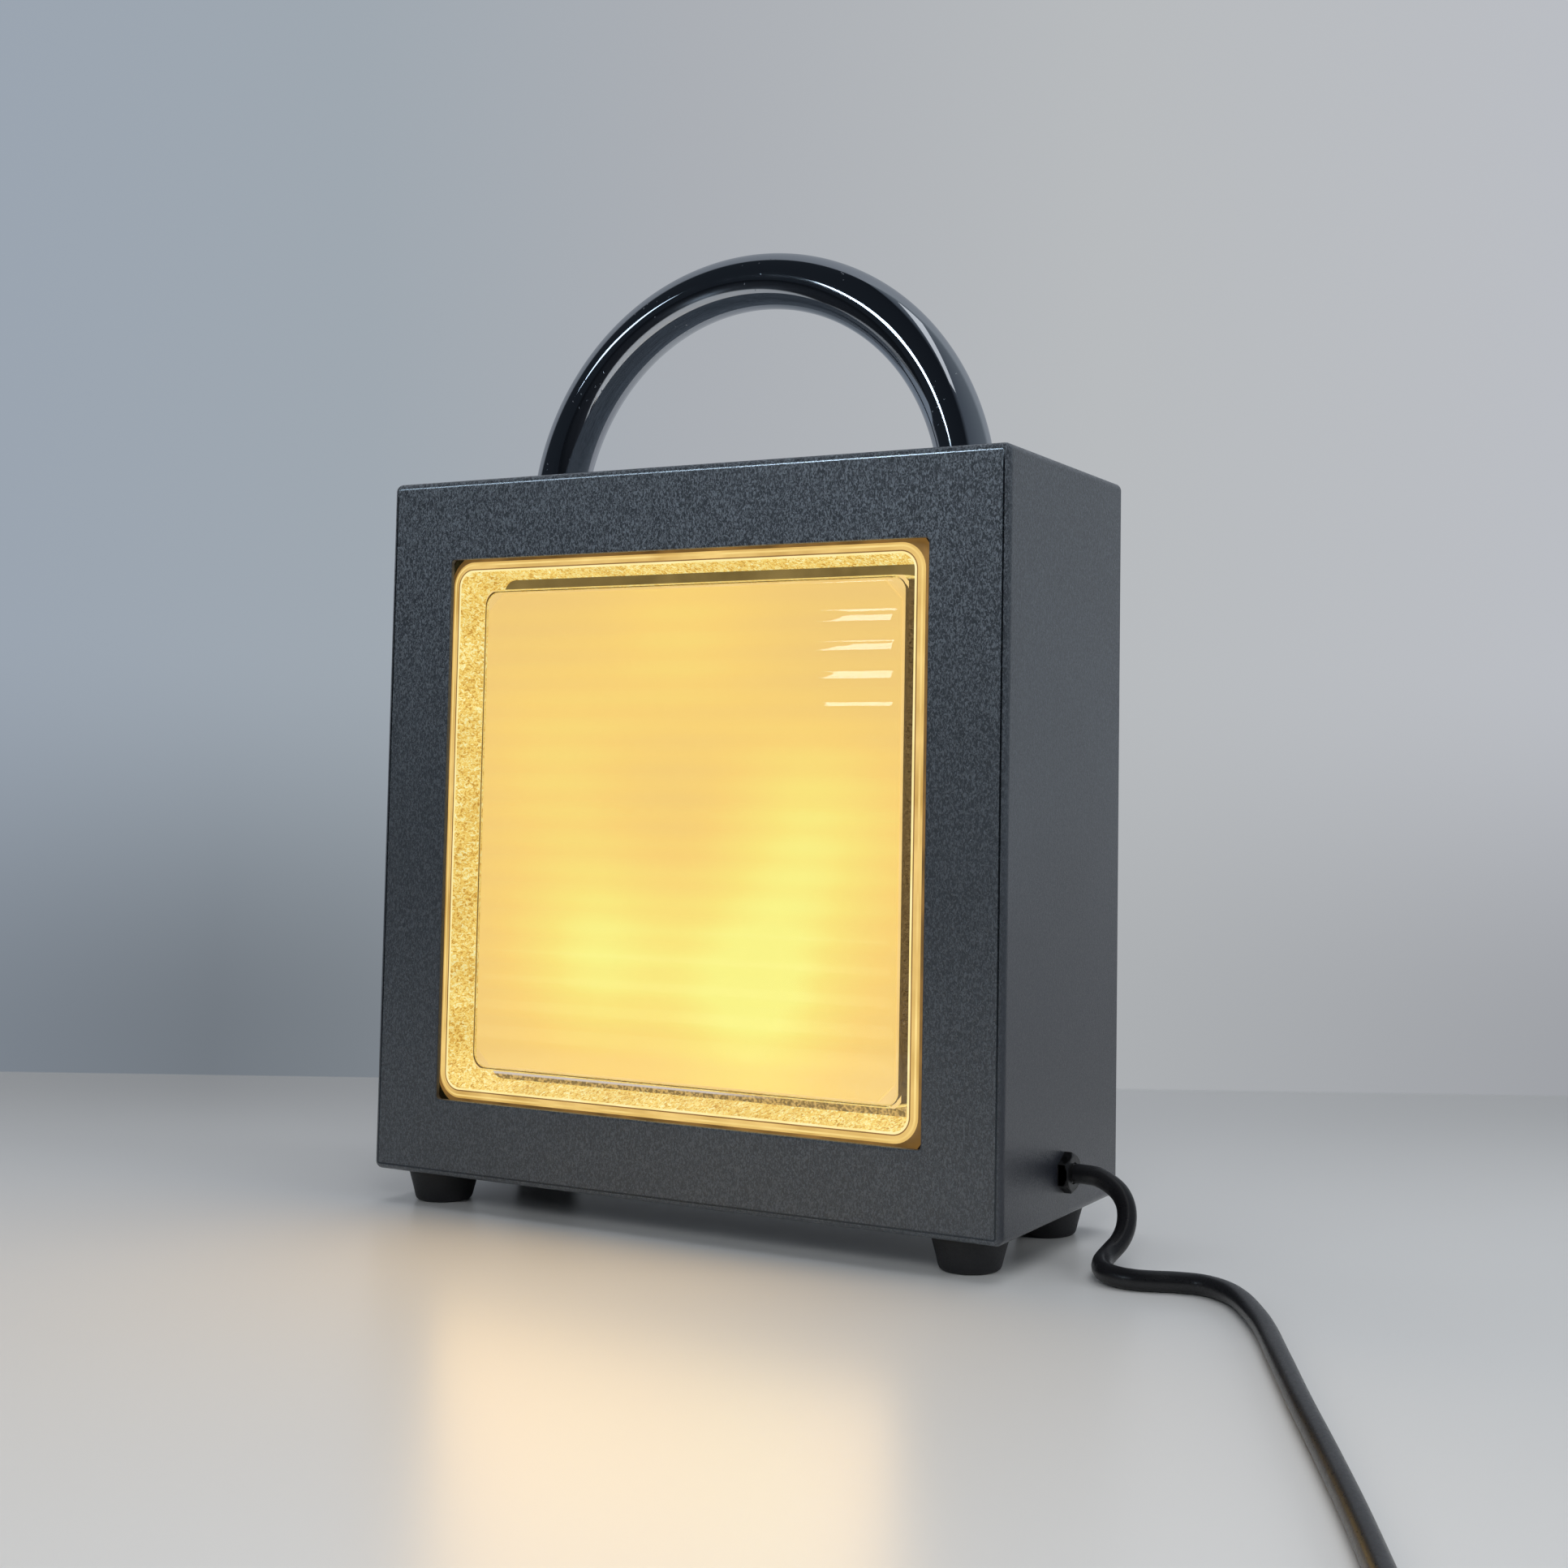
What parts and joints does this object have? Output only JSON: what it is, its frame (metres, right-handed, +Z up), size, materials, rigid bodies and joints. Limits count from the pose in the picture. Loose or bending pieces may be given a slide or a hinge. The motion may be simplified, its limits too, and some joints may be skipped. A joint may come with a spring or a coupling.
{
  "type": "glass block table lamp",
  "caption": "Square steel box framing a lit glass block, with a bent tube handle on top, rubber feet and a mains cord with an in-line switch and flat plug.",
  "frame": {"origin": "on the table under the middle of the box, half way between front and back and between left and right", "axes": "+X right for someone facing the glass, +Y backwards, +Z up; the lit glass faces -Y"},
  "size_m": [0.4377, 0.4245, 0.3258],
  "materials": {
    "steel_paint": "dark blue-grey fine-textured powder coat with a slight metallic fleck",
    "zinc_plate": "bright zinc plate",
    "chrome_bar": "mirror-polished chrome plate",
    "black_rubber": "black rubber with a soft sheen",
    "black_plastic": "smooth black moulded nylon",
    "pressed_glass": "clear pressed glass with a stippled rim and faint flutes, lit warm from behind",
    "opal_sheet": "warm translucent sheet, lit from behind",
    "foam": "dark closed-cell foam",
    "white_board": "white solder mask on an aluminium-backed circuit board",
    "led_phosphor": "yellow silicone over LED dies",
    "grey_silicone": "matt grey silicone pad",
    "white_plastic": "white moulded plastic",
    "plug_brass": "bright brass"
  },
  "bodies": {
    "lamp": {"front_shell": "steel_paint", "rear_cover": "steel_paint", "cover_screw_1": "zinc_plate", "cover_screw_2": "zinc_plate", "cover_screw_3": "zinc_plate", "cover_screw_4": "zinc_plate", "cover_screw_5": "zinc_plate", "cover_screw_6": "zinc_plate", "window_gasket": "foam", "glass_block_front": "pressed_glass", "glass_block_rear": "pressed_glass", "diffuser_sheet": "opal_sheet", "block_bracket_1": "zinc_plate", "block_bracket_2": "zinc_plate", "block_bracket_3": "zinc_plate", "block_bracket_4": "zinc_plate", "led_board": "white_board", "thermal_pad": "grey_silicone", "led_module_1": "led_phosphor", "led_module_2": "led_phosphor", "led_module_3": "led_phosphor", "led_module_4": "led_phosphor", "led_module_5": "led_phosphor", "led_driver": "white_plastic", "terminal_block": "white_plastic", "mains_lead_inner": "black_rubber", "led_lead": "white_plastic", "handle": "chrome_bar", "handle_washer_left": "zinc_plate", "handle_washer_right": "zinc_plate", "handle_bolt_left": "zinc_plate", "handle_bolt_right": "zinc_plate", "foot_front_left": "black_rubber", "foot_front_right": "black_rubber", "foot_rear_left": "black_rubber", "foot_rear_right": "black_rubber", "foot_screw_front_left": "zinc_plate", "foot_screw_front_right": "zinc_plate", "foot_screw_rear_left": "zinc_plate", "foot_screw_rear_right": "zinc_plate", "foot_nut_front_left": "zinc_plate", "foot_nut_front_right": "zinc_plate", "foot_nut_rear_left": "zinc_plate", "foot_nut_rear_right": "zinc_plate", "gland_body": "black_plastic", "gland_locknut": "black_plastic", "mains_cord_lamp": "black_rubber", "mains_cord_coil_lead": "black_rubber", "mains_cord_plug_lead": "black_rubber", "mains_cord_coil": "black_rubber", "switch_lower_shell": "black_plastic", "switch_upper_shell": "black_plastic", "switch_screw_1": "zinc_plate", "switch_screw_2": "zinc_plate", "switch_contact": "plug_brass", "plug_body": "black_plastic", "plug_pin_1": "plug_brass", "plug_pin_2": "plug_brass"},
    "rocker": {"switch_rocker": "black_plastic"}
  },
  "joints": [
    {"name": "switch_rock", "type": "hinge", "parent": "lamp", "child": "rocker", "pos_m": [0.301, -0.294, 0.0114], "axis": [0.9367, 0.3502, 0], "range_deg": [-16, 0]}
  ]
}
